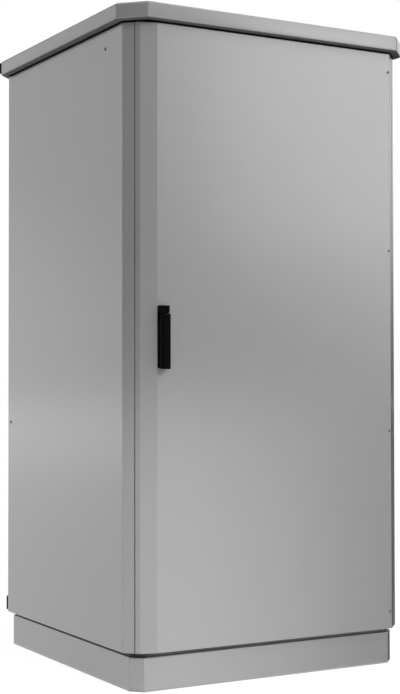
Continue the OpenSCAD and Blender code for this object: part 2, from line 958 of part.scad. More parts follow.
upper_rod_x = handle_x + rod_near + rod_w / 2;
lower_rod_x = handle_x - rod_near - rod_w / 2;
upper_keeper_z = top_z0 + 1;
lower_keeper_z = base_z1 - keeper_t;

module upper_keeper() {
    color(steel_grey)
        keeper(upper_rod_x, upper_keeper_z, upper_keeper_z, upper_keeper_z + keeper_foot_h);
}

module lower_keeper() {
    color(steel_grey)
        keeper(lower_rod_x, lower_keeper_z, lower_keeper_z - keeper_foot_h, lower_keeper_z + keeper_t);
}

// Hinges: a knuckle on the post, a knuckle on the door and a pin through both
hinge_screw_r = 2;
hinge_head_r = 4;
hinge_head_h = 1.2;
hinge_nut_r = 3.8;
hinge_nut_h = 2.4;
hinge_tail = 3;

module hinge_frame_leaf(i) {
    z0 = hinge_z(i) - leaf_below;
    z1 = hinge_z(i) - leaf_split - hinge_gap / 2;
    color(steel_grey)
        difference() {
            union() {
                rod_z([hinge_x, hinge_y], knuckle_r, z0, z1);
                upright(z0, z1)
                    polygon([hinge_at(0, -0.4 * knuckle_r), hinge_at(post_side, -0.4 * knuckle_r),
                        hinge_at(post_side, -leaf_deep), hinge_at(post_side - leaf_t, -leaf_deep),
                        hinge_at(post_side - leaf_t, -knuckle_r), hinge_at(0, -knuckle_r)]);
            }
            rod_z([hinge_x, hinge_y], pin_r + run_fit, z0 - 1, z1 + 1);
        }
}

module hinge_frame_leaf_1() {
    hinge_frame_leaf(0);
}

module hinge_frame_leaf_2() {
    hinge_frame_leaf(1);
}

module hinge_frame_leaf_3() {
    hinge_frame_leaf(2);
}

module hinge_frame_leaf_4() {
    hinge_frame_leaf(3);
}

module hinge_door_leaf(i) {
    z0 = hinge_z(i) - leaf_split + hinge_gap / 2;
    z1 = hinge_z(i) + leaf_above;
    inner = hinge_deep - sheet_t;
    bend = [hw - corner_c - sheet_t * tan(22.5), skin_in];
    color(steel_grey)
        difference() {
            union() {
                rod_z([hinge_x, hinge_y], knuckle_r, z0, z1);
                upright(z0, z1)
                    folded([[hw - corner_c - leaf_wide, skin_in], bend, hinge_at(0, inner)], leaf_t,
                        max(bend_r - sheet_t, 0.5));
            }
            rod_z([hinge_x, hinge_y], pin_r + run_fit, z0 - 1, z1 + 1);
            rod_y(hinge_screw_x, hinge_z(i), hinge_screw_r, -hd - 1, skin_in + leaf_t + hinge_tail);
        }
}

module hinge_door_leaf_1() {
    hinge_door_leaf(0);
}

module hinge_door_leaf_2() {
    hinge_door_leaf(1);
}

module hinge_door_leaf_3() {
    hinge_door_leaf(2);
}

module hinge_door_leaf_4() {
    hinge_door_leaf(3);
}

module hinge_pins() {
    color(steel_grey)
        for (i = [0 : 3])
            rod_z([hinge_x, hinge_y], pin_r, hinge_z(i) - leaf_below, hinge_z(i) + leaf_above - 1);
}

module hinge_screws() {
    color(screw_dark)
        for (i = [0 : 3]) {
            rod_y(hinge_screw_x, hinge_z(i), hinge_screw_r, -hd, skin_in + leaf_t + hinge_tail);
            rod_y(hinge_screw_x, hinge_z(i), hinge_head_r, -hd - hinge_head_h, -hd);
            rod_y(hinge_screw_x, hinge_z(i), hinge_nut_r, skin_in + leaf_t, skin_in + leaf_t + hinge_nut_h);
        }
}

// Door
flange_x0 = -hw + bevel_run;
flange_x1 = hw - corner_c - bend_r;
hole_play = 1;

module door_panel() {
    color(body_grey)
        difference() {
            union() {
                upright(body_z0, body_z1)
                    folded([seam_at(seam_gap / 2, door_flange), seam_at(seam_gap / 2, 0), edge_bend,
                        [-hw + bevel_run, -hd], [hw - corner_c, -hd], hinge_at(-door_side, hinge_deep)],
                        sheet_t, bend_r);
                for (z = [body_z0, body_z1 - sheet_t])
                    block([flange_x0, -hd + sheet_t / 2, z], [flange_x1, -hd + door_flange, z + sheet_t]);
            }
            rod_y(handle_x, spindle_z, spindle_r + hole_play, -hd - 1, skin_in + 1);
            rod_y(handle_x, cylinder_z, cylinder_r + hole_play, -hd - 1, skin_in + 1);
            for (i = [0 : 3])
                rod_y(hinge_screw_x, hinge_z(i), hinge_screw_r, -hd - 1, skin_in + 1);
        }
}

stiff_clear = 12;
stiff_x0 = lip_xl + rim_w + stiff_clear;
stiff_x1 = lip_xr - rim_w - stiff_clear;
stiff_z0 = floor_z + rim_w + sheet_t + stiff_clear;
stiff_z1 = top_z0 - rim_w - sheet_t - stiff_clear;
seal_in = 2;

module door_stiffener() {
    color(body_grey)
        difference() {
            on_xz(skin_in, skin_in + stiffener_d)
                frame_ring([stiff_x0, stiff_z0], [stiff_x1, stiff_z1], stiffener_w);
            on_xz(skin_in - 1, skin_in + stiffener_d - sheet_t)
                frame_ring([stiff_x0 + sheet_t, stiff_z0 + sheet_t], [stiff_x1 - sheet_t, stiff_z1 - sheet_t],
                    stiffener_w - 2 * sheet_t);
        }
}

module door_seal() {
    color(rubber_black)
        on_xz(skin_in, lip_y - slip)
            frame_ring([lip_xl + seal_in, floor_z + sheet_t + seal_in],
                [lip_xr - seal_in, top_z0 - sheet_t - seal_in], seal_w);
}

// Handle
plate_c = 2.5;

module plate_outline() {
    x = handle_w / 2;
    z1 = handle_len;
    polygon([[-x + plate_c, 0], [x - plate_c, 0], [x, plate_c], [x, z1 - plate_c], [x - plate_c, z1],
        [-x + plate_c, z1], [-x, z1 - plate_c], [-x, plate_c]]);
}

module handle_plate() {
    color(handle_black)
        difference() {
            translate([handle_x, 0, handle_z])
                on_xz(-hd - plate_t, -hd)
                    plate_outline();
            rod_y(handle_x, spindle_z, spindle_r + run_fit, -hd - plate_t - 1, -hd + 1);
            rod_y(handle_x, cylinder_z, cylinder_r + hole_play, -hd - plate_t - 1, -hd + 1);
        }
}

housing_rim = 0.8;
housing_cx = 3;
housing_cy = 3;

module cylinder_housing() {
    x = lever_w / 2;
    y0 = -hd - housing_out;
    y1 = -hd - plate_t;
    color(handle_black)
        difference() {
            upright(housing_z0, handle_z + handle_len - housing_rim)
                polygon([[handle_x - x, y1], [handle_x - x, y0 + housing_cy], [handle_x - x + housing_cx, y0],
                    [handle_x + x - housing_cx, y0], [handle_x + x, y0 + housing_cy], [handle_x + x, y1]]);
            rod_y(handle_x, cylinder_z, cylinder_r + run_fit, y0 - 1, y1 + 1);
        }
}

key_w = 1.8;
key_h = 7.2;
key_deep = 7;
cam_w = 8;
cam_h = 12;
cam_t = 3;
cam_y = -hd + 4;

module key_cylinder() {
    y0 = -hd - housing_out + 1;
    color(handle_black)
        difference() {
            union() {
                rod_y(handle_x, cylinder_z, cylinder_r, y0, cam_y);
                block([handle_x - cam_w / 2, cam_y, cylinder_z - cam_w / 2],
                    [handle_x + cam_w / 2, cam_y + cam_t, cylinder_z + cam_h]);
            }
            block([handle_x - key_w / 2, y0 - 1, cylinder_z - key_h / 2],
                [handle_x + key_w / 2, y0 + key_deep, cylinder_z + key_h / 2]);
        }
}

head_sunk = 2;

module handle_spindle() {
    color(steel_grey)
        difference() {
            union() {
                rod_y(handle_x, spindle_z, spindle_r, -hd - lever_back + head_sunk, case_y1 + head_sunk);
                block([handle_x - tongue_w / 2, tongue_y, spindle_z - tongue_r],
                    [handle_x + tongue_w / 2, -hd - lever_back + head_sunk + 1, spindle_z + tongue_r]);
                rod_x(tongue_y, spindle_z, tongue_r, handle_x - tongue_w / 2, handle_x + tongue_w / 2);
            }
            rod_x(tongue_y, spindle_z, lever_pin_r, handle_x - tongue_w, handle_x + tongue_w);
        }
}

pin_cover = 3;

module lever_pin() {
    color(screw_dark)
        rod_x(tongue_y, spindle_z, lever_pin_r, handle_x - lever_w / 2 + pin_cover + slip,
            handle_x + lever_w / 2 - 1);
}

lever_heel = 17;
lever_cx = 5;
lever_cy = 7;
heel_in = 4.5;
heel_up = 13;
heel_c = 3;
heel_side = 4;
nose_c = 5;
nose_h = 6;
nose_side = 2.5;
nose_slope = 9;
tongue_play = 0.5;
tongue_room = 1.5;
swing_room = 12;
grip_up = 34;
grip_end = 14;
grip_deep = 7;

module handle_lever() {
    y0 = -hd - lever_out;
    y1 = -hd - lever_back;
    x = lever_w / 2;
    heel = spindle_z - lever_heel;
    slot = tongue_w / 2 + tongue_play;
    color(handle_black)
        difference() {
            intersection() {
                on_yz(handle_x - x, handle_x + x)
                    polygon([[y1 - heel_in, heel], [y1, heel + heel_up], [y1, lever_end],
                        [y0 + nose_c, lever_end], [y0, lever_end - nose_h],
                        [y0, heel + heel_c], [y0 + heel_c, heel]]);
                upright(heel - 1, lever_end + 1)
                    polygon([[handle_x - x, y1], [handle_x - x, y0 + lever_cy], [handle_x - x + lever_cx, y0],
                        [handle_x + x - lever_cx, y0], [handle_x + x, y0 + lever_cy], [handle_x + x, y1]]);
                translate([handle_x, 0, 0])
                    on_xz(y0 - 1, y1 + 1)
                        polygon([[heel_side - x, heel], [x - heel_side, heel], [x, heel + heel_side],
                            [x, lever_end - nose_slope], [x - nose_side, lever_end],
                            [nose_side - x, lever_end], [-x, lever_end - nose_slope], [-x, heel + heel_side]]);
            }
            block([handle_x - slot, tongue_y - tongue_r - tongue_room, heel - 1],
                [handle_x + slot, y1 + 1, spindle_z + tongue_r + swing_room]);
            rod_x(tongue_y, spindle_z, lever_pin_r + run_fit, handle_x - x + pin_cover, handle_x + x + 1);
            block([handle_x - x + lever_cx, y1 - grip_deep, spindle_z + grip_up],
                [handle_x + x - lever_cx, y1 + 1, lever_end - grip_end]);
        }
}

// Lock: a case on the inside of the door, a pinion on the spindle and two racked rods
function inv_angle(r) = let (a = acos(gear_rb / r)) tan(a) * 180 / PI - a;
function flank(r) = gear_half + inv_angle(gear_rp) - inv_angle(r);
function polar(r, a) = r * [cos(a), sin(a)];
gear_steps = [for (k = [0 : 4]) gear_rb + (gear_ra - gear_rb) * k / 4];

function pinion_points() =
    [for (i = [0 : gear_n - 1])
        let (mid = i * 360 / gear_n)
        for (p = concat([polar(gear_rf, mid - flank(gear_rb))],
            [for (r = gear_steps) polar(r, mid - flank(r))],
            [for (k = [4 : -1 : 0]) polar(gear_steps[k], mid + flank(gear_steps[k]))],
            [polar(gear_rf, mid + flank(gear_rb))])) p];

module lock_pinion() {
    color(steel_grey)
        difference() {
            translate([handle_x, 0, spindle_z])
                on_xz(rod_y0 - 1, rod_y1 + 1)
                    polygon(pinion_points());
            rod_y(handle_x, spindle_z, spindle_r, rod_y0 - 2, rod_y1 + 2);
        }
}

gear_pitch = PI * gear_m;
rack_half = gear_pitch / 4 - gear_slack / 4;
rack_tip = rack_half - rack_add * tan(gear_alpha);
rack_root = rack_half + rack_ded * tan(gear_alpha);

// Rack outline: teeth towards -x, a gap at height 0, teeth numbered from k0 to k1
function rack_teeth(k0, k1) =
    [for (k = [k0 : k1])
        let (z = (k + 0.5) * gear_pitch)
        for (p = [[rod_near, z - rack_root], [gear_rp - rack_add, z - rack_tip],
            [gear_rp - rack_add, z + rack_tip], [rod_near, z + rack_root]]) p];

rack_first = -2;
rack_last = 4;
rod_c = [2, 6];

module rack_rod(length) {
    foot = (rack_first - 0.2) * gear_pitch;
    polygon(concat([[rod_far, length], [rod_far, foot], [rod_near, foot]], rack_teeth(rack_first, rack_last),
        [[rod_near, length - rod_c[1]], [rod_near + rod_c[0], length]]));
}

module upper_rod() {
    color(zinc_grey)
        translate([handle_x, 0, spindle_z])
            on_xz(rod_y0, rod_y1)
                rack_rod(rod_top - spindle_z);
}

module lower_rod() {
    color(zinc_grey)
        translate([handle_x, 0, spindle_z])
            on_xz(rod_y0, rod_y1)
                rotate(180)
                    rack_rod(spindle_z - rod_low);
}

boss_wall = 4;

module lock_case() {
    x = rod_far + 1 + case_wall;
    color(steel_grey)
        difference() {
            union() {
                block([handle_x - x, case_y0, case_z0], [handle_x + x, case_y1, case_z1]);
                rod_y(handle_x, spindle_z, spindle_r + boss_wall, skin_in, case_y0 + 1);
            }
            block([handle_x - x + case_wall, case_y0 + case_wall, case_z0 - 1],
                [handle_x + x - case_wall, case_y1 - case_wall, case_z1 + 1]);
            rod_y(handle_x, spindle_z, spindle_r + run_fit, skin_in - 1, case_y1 + 1);
        }
}

guide_slip = 0.4;
guide_wall = 3;
guide_h = 16;
guide_foot = 8;
guide_foot_t = 4;

module rod_guide(x, z, side) {
    slot = rod_w / 2 + guide_slip;
    half = slot + guide_wall;
    difference() {
        union() {
            block([x - half, case_y0, z], [x + half, rod_y1 + guide_slip + guide_wall, z + guide_h]);
            block([x + min(side * (half - 1), side * (half + guide_foot)), skin_in, z],
                [x + max(side * (half - 1), side * (half + guide_foot)), case_y0 + guide_foot_t,
                    z + guide_h]);
        }
        block([x - slot, rod_y0 - guide_slip, z - 1], [x + slot, rod_y1 + guide_slip, z + guide_h + 1]);
    }
}

module rod_guides() {
    color(handle_black) {
        for (z = guide_high)
            rod_guide(upper_rod_x, z, -1);
        for (z = guide_low)
            rod_guide(lower_rod_x, z, 1);
    }
}

plinth();
plinth_bolts();
base_frame();
floor_plate();
gland_plate();
gland_screws();
cable_grommets();
front_left_post();
front_right_post();
rear_left_post();
rear_right_post();
front_sill();
front_header();
top_frame();
top_plate();
left_strut_low();
left_strut_high();
right_strut_low();
right_strut_high();
left_side_panel();
right_side_panel();
side_panel_screws();
rear_panel();
rear_panel_screws();
roof_hood();
roof_spacers();
roof_bolts();
mounting_plate();
plate_brackets();
plate_bolts();
earth_bar();
earth_pillars();
earth_screws();
wall_buffers();
upper_keeper();
lower_keeper();
hinge_frame_leaf_1();
hinge_frame_leaf_2();
hinge_frame_leaf_3();
hinge_frame_leaf_4();
hinge_pins();
door_panel();
door_stiffener();
door_seal();
hinge_door_leaf_1();
hinge_door_leaf_2();
hinge_door_leaf_3();
hinge_door_leaf_4();
hinge_screws();
handle_plate();
cylinder_housing();
lock_case();
rod_guides();
handle_spindle();
lock_pinion();
lever_pin();
handle_lever();
key_cylinder();
upper_rod();
lower_rod();
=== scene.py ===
from collections import namedtuple
from math import cos, pi, radians, sin

import bmesh
import bpy
from mathutils import Matrix, Vector


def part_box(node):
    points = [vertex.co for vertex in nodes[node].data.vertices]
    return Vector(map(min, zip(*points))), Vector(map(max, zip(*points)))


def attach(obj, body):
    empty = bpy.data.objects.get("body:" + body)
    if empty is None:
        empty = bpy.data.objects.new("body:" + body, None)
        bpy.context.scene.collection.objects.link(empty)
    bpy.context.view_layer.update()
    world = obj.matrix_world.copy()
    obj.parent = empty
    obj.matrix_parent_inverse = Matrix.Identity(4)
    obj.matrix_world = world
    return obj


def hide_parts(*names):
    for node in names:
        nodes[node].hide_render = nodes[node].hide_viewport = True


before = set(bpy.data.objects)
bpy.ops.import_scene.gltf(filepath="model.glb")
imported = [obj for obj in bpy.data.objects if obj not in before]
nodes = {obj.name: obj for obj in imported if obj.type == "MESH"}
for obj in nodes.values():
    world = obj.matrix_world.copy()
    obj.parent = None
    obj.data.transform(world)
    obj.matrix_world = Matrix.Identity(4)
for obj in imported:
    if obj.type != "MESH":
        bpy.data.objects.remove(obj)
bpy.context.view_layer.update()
MM = 0.001


class Value:
    """An output of a node tree that is used like a number."""

    def __init__(self, socket):
        self.socket = socket

    def sum_of(self, operation, *terms):
        tree = Finish(self.socket.id_data)
        return tree.node("ShaderNodeMath", {"operation": operation}, dict(enumerate(terms)))

    def __add__(self, other):
        return self.sum_of("ADD", self, other)

    def __rsub__(self, other):
        return self.sum_of("SUBTRACT", other, self)

    def __mul__(self, other):
        return self.sum_of("MULTIPLY", self, other)

    def __truediv__(self, other):
        return self.sum_of("DIVIDE", self, other)

    def __gt__(self, other):
        return self.sum_of("GREATER_THAN", self, other)

    __radd__ = __add__


class Finish:
    """A node tree that a finish, the floor or the sky is written in."""

    def __init__(self, tree):
        self.tree = tree

    def node(self, kind, settings=None, sockets=None, out=0):
        """A new node with its settings, its sockets set or joined, and the output that is used."""
        made = self.tree.nodes.new(kind)
        for name, setting in (settings or {}).items():
            setattr(made, name, setting)
        for name, given in (sockets or {}).items():
            if isinstance(given, Value):
                self.tree.links.new(given.socket, made.inputs[name])
            else:
                made.inputs[name].default_value = given
        return Value(made.outputs[out]) if made.outputs else None

    def place(self):
        return self.node("ShaderNodeTexCoord", out="Object")

    def axis(self, where, name):
        return self.node("ShaderNodeSeparateXYZ", {}, {0: where}, name)

    def stretched(self, where, scale):
        return self.node("ShaderNodeVectorMath", {"operation": "MULTIPLY"}, {0: where, 1: scale})

    def noise(self, where, scale, detail=2.0, roughness=0.5):
        return self.node("ShaderNodeTexNoise", {},
                         {"Vector": where, "Scale": scale, "Detail": detail, "Roughness": roughness})

    def cells(self, where, scale, out="Distance"):
        return self.node("ShaderNodeTexVoronoi", {}, {"Vector": where, "Scale": scale}, out)

    def ramp(self, given, low, high):
        """0 at low, 1 at high."""
        return self.node("ShaderNodeMapRange", {}, {0: given, 1: low, 2: high})

    def smooth(self, given, low, high):
        """0 at low, 1 at high, with soft ends."""
        return self.node("ShaderNodeMapRange", {"interpolation_type": "SMOOTHSTEP"},
                         {0: given, 1: low, 2: high})

    def tint(self, dark, light, share):
        return self.node("ShaderNodeMix", {"data_type": "RGBA"}, {0: share, 6: dark, 7: light}, 2)

    def bump(self, height, strength, depth, rounded=0.0):
        """Bump by a height; where a radius is given, it lies on edges that are rounded by it."""
        sockets = {"Height": height, "Strength": strength, "Distance": depth}
        if rounded:
            sockets["Normal"] = self.node("ShaderNodeBevel", {"samples": 8}, {"Radius": rounded * MM})
        return self.node("ShaderNodeBump", {}, sockets)

    def surface(self, shader):
        self.node("ShaderNodeOutputMaterial", {}, {"Surface": shader})


def material(name):
    made = bpy.data.materials.new(name)
    made.use_nodes = True
    made.node_tree.nodes.clear()
    return made, Finish(made.node_tree)


def grey(level, warm=0.0):
    return (level * (1 + warm), level, level * (1 - warm), 1.0)


# Finishes
PAINT = 0.4
PLINTH_FOLD = 6.0
# Grey of the painted shade on the hood's down-facing faces
HOOD_PAINTED_SHADE = 0.065


def powder_coat(name, shade, rounded=0.0, painted_shade=0.0):
    """Polyester powder on sheet steel: even, satin, with a fine orange peel.

    Where a painted-shade grey is given, faces that look down are painted that matt grey, as painted shade.
    """
    made, f = material(name)
    where = f.place()
    drift = f.noise(where, 1.7, 3.0)
    peel = f.noise(where, 330.0, 2.0, 0.6)
    tooth = f.noise(where, 2100.0, 1.0)
    share = f.ramp(drift * 0.7 + peel * 0.2 + tooth * 0.1, 0.3, 0.7)
    colour = f.tint(grey(shade * 0.97), grey(shade * 1.03), share)
    roughness = 0.13 + peel * 0.05 + tooth * 0.03
    coat = 1.0
    # Painted shade: faces that look down, found by their normal, are painted a dark matt grey in place of
    # the shade under the roof.
    if painted_shade:
        upright = f.axis(f.node("ShaderNodeTexCoord", out="Normal"), "Z")
        coat = f.smooth(upright, -0.8, 0.0)
        painted_shade_grey = f.tint(grey(painted_shade * 0.8), grey(painted_shade * 1.2), tooth)
        colour = f.tint(painted_shade_grey, colour, coat)
        roughness = roughness * coat + (1 - coat) * 0.8
    f.surface(f.node("ShaderNodeBsdfPrincipled", {}, {
        "Base Color": colour,
        "Roughness": roughness,
        "IOR": 1.7,
        "Specular IOR Level": 1.0,
        "Coat Weight": coat,
        "Coat Roughness": 0.14,
        "Normal": f.bump(peel * 0.8 + tooth * 0.2, 0.03, 0.0003, rounded),
    }))
    return made


def galvanised(name):
    """Hot-dip zinc on sheet steel with its spangle."""
    made, f = material(name)
    where = f.place()
    sway = f.node("ShaderNodeTexNoise", {}, {"Vector": where, "Scale": 60.0}, "Color")
    bent = f.node("ShaderNodeVectorMath", {"operation": "MULTIPLY_ADD"},
                  {0: sway, 1: (0.012, 0.012, 0.012), 2: where})
    flake = f.node("ShaderNodeSeparateColor", {}, {"Color": f.cells(bent, 85.0, "Color")})
    bloom = f.noise(where, 5.0, 4.0)
    fine = f.noise(where, 1500.0, 1.0)
    share = f.ramp(flake * 0.5 + bloom * 0.4 + fine * 0.1, 0.15, 0.85)
    f.surface(f.node("ShaderNodeBsdfPrincipled", {}, {
        "Base Color": f.tint((0.36, 0.37, 0.385, 1.0), (0.6, 0.61, 0.62, 1.0), share),
        "Metallic": 0.88,
        "Roughness": 0.36 + flake * 0.16 + fine * 0.08,
        "Normal": f.bump(flake * 0.5 + fine * 0.5, 0.08, 0.0002),
    }))
    return made


def plated(name, dark, light):
    """Plated fasteners and lock parts, with faint turning marks."""
    made, f = material(name)
    where = f.place()
    mottle = f.noise(where, 140.0, 3.0)
    marks = f.noise(f.stretched(where, (1.0, 14.0, 1.0)), 320.0, 2.0)
    share = f.ramp(mottle * 0.6 + marks * 0.4, 0.25, 0.75)
    f.surface(f.node("ShaderNodeBsdfPrincipled", {}, {
        "Base Color": f.tint(grey(dark, -0.02), grey(light, -0.02), share),
        "Metallic": 1.0,
        "Roughness": 0.28 + mottle * 0.14 + marks * 0.08,
        "Normal": f.bump(marks, 0.06, 0.0002),
    }))
    return made


def shade_painted_enamel(name):
    """Stove enamel on the frames, a little uneven and low in gloss; its dark grey is partly painted shade
    for the shadow gaps under the roof and above the plinth, where the frames show.
    """
    made, f = material(name)
    where = f.place()
    flow = f.noise(where, 18.0, 3.0)
    tooth = f.noise(where, 900.0, 2.0)
    f.surface(f.node("ShaderNodeBsdfPrincipled", {}, {
        # Dark grey base colour: partly painted shade, darkening the frames that show in the shadow gaps.
        "Base Color": f.tint(grey(0.2), grey(0.25), f.ramp(flow, 0.3, 0.7)),
        "Roughness": 0.5 + flow * 0.12 + tooth * 0.08,
        "Specular IOR Level": 0.25,
        "Normal": f.bump(tooth, 0.08, 0.0002),
    }))
    return made


def moulded_black(name):
    """Glass-filled polyamide with the fine grain of its mould."""
    made, f = material(name)
    where = f.place()
    grain = f.cells(where, 1300.0)
    haze = f.noise(where, 90.0, 3.0)
    f.surface(f.node("ShaderNodeBsdfPrincipled", {}, {
        "Base Color": f.tint(grey(0.0015), grey(0.003), haze),
        "Roughness": 0.3 + haze * 0.1 + grain * 0.08,
        "Specular IOR Level": 0.06,
        "Normal": f.bump(grain, 0.18, 0.0002),
    }))
    return made


def rubber(name):
    """Closed-cell rubber with pores and a dusting of bloom."""
    made, f = material(name)
    where = f.place()
    pores = f.cells(where, 900.0)
    bloom = f.noise(where, 35.0, 4.0)
    f.surface(f.node("ShaderNodeBsdfPrincipled", {}, {
        "Base Color": f.tint(grey(0.011), grey(0.024), f.ramp(bloom, 0.35, 0.75)),
        "Roughness": 0.68 + bloom * 0.16,
        "Specular IOR Level": 0.3,
        "Normal": f.bump(pores, 0.3, 0.0003),
    }))
    return made


def drawn_copper(name):
    """Copper bar with drawing lines along it and a slight tarnish."""
    made, f = material(name)
    where = f.place()
    lines = f.noise(f.stretched(where, (1.0, 40.0, 40.0)), 26.0, 3.0)
    tarnish = f.noise(where, 28.0, 4.0, 0.6)
    share = f.ramp(lines * 0.4 + tarnish * 0.6, 0.3, 0.7)
    f.surface(f.node("ShaderNodeBsdfPrincipled", {}, {
        "Base Color": f.tint((0.42, 0.17, 0.085, 1.0), (0.75, 0.34, 0.2, 1.0), share),
        "Metallic": 1.0,
        "Roughness": 0.26 + tarnish * 0.2 + lines * 0.1,
        "Normal": f.bump(lines, 0.1, 0.0002),
    }))
    return made


finishes = {
    "body_paint": powder_coat("cabinet_powder_coat", PAINT),
    "zinc_sheet": galvanised("galvanised_sheet"),
    "steel": plated("zinc_plated_steel", 0.305, 0.475),
    "black_zinc": plated("black_zinc_plate", 0.12, 0.2),
    "frame_coat": shade_painted_enamel("frame_enamel_painted_shade"),
    "black_plastic": moulded_black("black_polyamide"),
    "rubber": rubber("black_rubber"),
    "copper": drawn_copper("drawn_copper"),
}
for piece in nodes.values():
    slot = piece.material_slots[0]
    slot.material = finishes[slot.material.name]
nodes["plinth"].material_slots[0].material = powder_coat("plinth_powder_coat", PAINT, PLINTH_FOLD)
# The keepers take the frames' enamel too, with its painted shade.
for name in ("upper_keeper", "lower_keeper"):
    nodes[name].material_slots[0].material = finishes["frame_coat"]


# Softened edges on the carried-over solids
WELD_REACH = 0.00001
SHARP_FROM = radians(28)


def soften(name, width, segments):
    piece = nodes[name]
    weld = piece.modifiers.new("weld", "WELD")
    weld.merge_threshold = WELD_REACH
    edge = piece.modifiers.new("edge", "BEVEL")
    edge.width = width * MM
    edge.segments = segments
    edge.limit_method = "ANGLE"
    edge.angle_limit = SHARP_FROM
    edge.harden_normals = True
    edge.use_clamp_overlap = False


for name in ("handle_plate", "cylinder_housing", "handle_lever"):
    soften(name, width=1.1, segments=3)
for name in ("wall_buffers", "rod_guides"):
    soften(name, width=1.2, segments=3)
for name in ("lock_case", "mounting_plate", "earth_bar", "gland_plate", "upper_rod", "lower_rod"):
    soften(name, width=0.4, segments=2)


# Rings, lofts and pieces
POINTS = 48


def ring(radius_at):
    turns = [2 * pi * i / POINTS for i in range(POINTS)]
    return [(radius_at(a) * cos(a), radius_at(a) * sin(a)) for a in turns]


def circle(radius):
    return ring(lambda a: radius)


def hexagon(flats, limit):
    """Hexagon over its flats, with its corners turned down to a share of their radius."""
    corner = flats / 2 / cos(pi / 6)
    return ring(lambda a: min(flats / 2 / cos((a + pi / 6) % (pi / 3) - pi / 6), corner * limit))


def six_lobe(radius):
    return ring(lambda a: radius * (1 + 0.13 * cos(6 * a)))


def joined(mesh, here, there):
    """Faces between two closed rows of as many points."""
    for i in range(len(here)):
        j = (i + 1) % len(here)
        mesh.faces.new((here[i], here[j], there[j], there[i]))


def loft(mesh, sections, turn):
    """Rings of (height, points) in millimetres, joined from first to last and closed at both ends."""
    rows = []
    for z, points in sections:
        rows.append([mesh.verts.new(turn @ Vector((x * MM, y * MM, z * MM))) for x, y in points])
    for low, high in zip(rows, rows[1:]):
        joined(mesh, low, high)
    mesh.faces.new(rows[0][::-1])
    mesh.faces.new(rows[-1])


def placed(mesh, name, finish):
    """Object in the scene from a mesh that is built, with its finish."""
    data = bpy.data.meshes.new(name)
    mesh.to_mesh(data)
    mesh.free()
    data.materials.append(finish)
    piece = bpy.data.objects.new(name, data)
    bpy.context.scene.collection.objects.link(piece)
    return piece


def finished(mesh, name, finish, sharp=32):
    """Piece of the cabinet, smooth but for edges that turn by more than the given degrees."""
    mesh.normal_update()
    for face in mesh.faces:
        face.smooth = True
    for edge in mesh.edges:
        edge.smooth = len(edge.link_faces) == 2 and edge.calc_face_angle() < radians(sharp)
    piece = placed(mesh, name, finishes[finish])
    return piece


# Fasteners: turned and headed shapes in place of the plain solids
OUTWARD = {
    "-x": Matrix.Rotation(radians(-90), 4, "Y"),
    "+x": Matrix.Rotation(radians(90), 4, "Y"),
    "-y": Matrix.Rotation(radians(90), 4, "X"),
    "+y": Matrix.Rotation(radians(-90), 4, "X"),
    "+z": Matrix.Identity(4),
}


def solids_of(name):
    """Lowest and highest corner of each separate solid of a node."""
    data = nodes[name].data
    spots = {}
    lead = [spots.setdefault(tuple(round(c, 6) for c in v.co), v.index) for v in data.vertices]

    def root(i):
        while lead[i] != i:
            lead[i] = lead[lead[i]]
            i = lead[i]
        return i

    for edge in data.edges:
        a, b = (root(i) for i in edge.vertices)
        lead[a] = b
    boxes = {}
    for v in data.vertices:
        low, high = boxes.setdefault(root(v.index), (v.co.copy(), v.co.copy()))
        for k in range(3):
            low[k] = min(low[k], v.co[k])
            high[k] = max(high[k], v.co[k])
    return sorted(boxes.values(), key=lambda pair: tuple(pair[0]))


def head_end(low, high, way):
    """Middle of the box face that looks the given way, and the box's length that way in millimetres."""
    k = "xyz".index(way[1])
    spot = (low + high) / 2
    spot[k] = low[k] if way[0] == "-" else high[k]
    return spot, (high[k] - low[k]) / MM


def fasteners(node, body, ways, sections_for, finish="steel"):
    """One piece for all fasteners of a node.

    Sections are measured from the top of the head, inwards negative.
    """
    mesh = bmesh.new()
    for low, high in solids_of(node):
        way = ways(low, high)
        spot, length = head_end(low, high, way)
        loft(mesh, sections_for(length), Matrix.Translation(spot) @ OUTWARD[way])
    piece = finished(mesh, node + "_turned", finish)
    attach(piece, body)
    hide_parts(node)


def panel_screw(length):
    """Low round head with a six-lobe socket, a spacer under the sheet and a threaded end."""
    shank, spacer, head, socket = 3.9, 7.0, 5.0, 2.0
    thread, sheet_grip, head_h = 5.0, 4.0, 2.0
    end = -length
    return [
        (end, circle(shank - 0.8)),
        (end + 1, circle(shank)),
        (end + thread - 0.4, circle(shank)),
        (end + thread, circle(spacer - 0.4)),
        (end + thread + 0.4, circle(spacer)),
        (-sheet_grip - 0.4, circle(spacer)),
        (-sheet_grip, circle(spacer - 0.4)),
        (-sheet_grip, circle(shank)),
        (-head_h, circle(shank)),
        (-head_h, circle(head - 0.2)),
        (-head_h + 0.3, circle(head)),
        (-head_h / 2, circle(head)),
        (-0.45, circle(head - 0.4)),
        (-0.1, circle(head - 1.3)),
        (0, circle(head - 2.3)),
        (0, six_lobe(socket + 0.3)),
        (-0.25, six_lobe(socket + 0.1)),
        (-1.5, six_lobe(socket)),
    ]


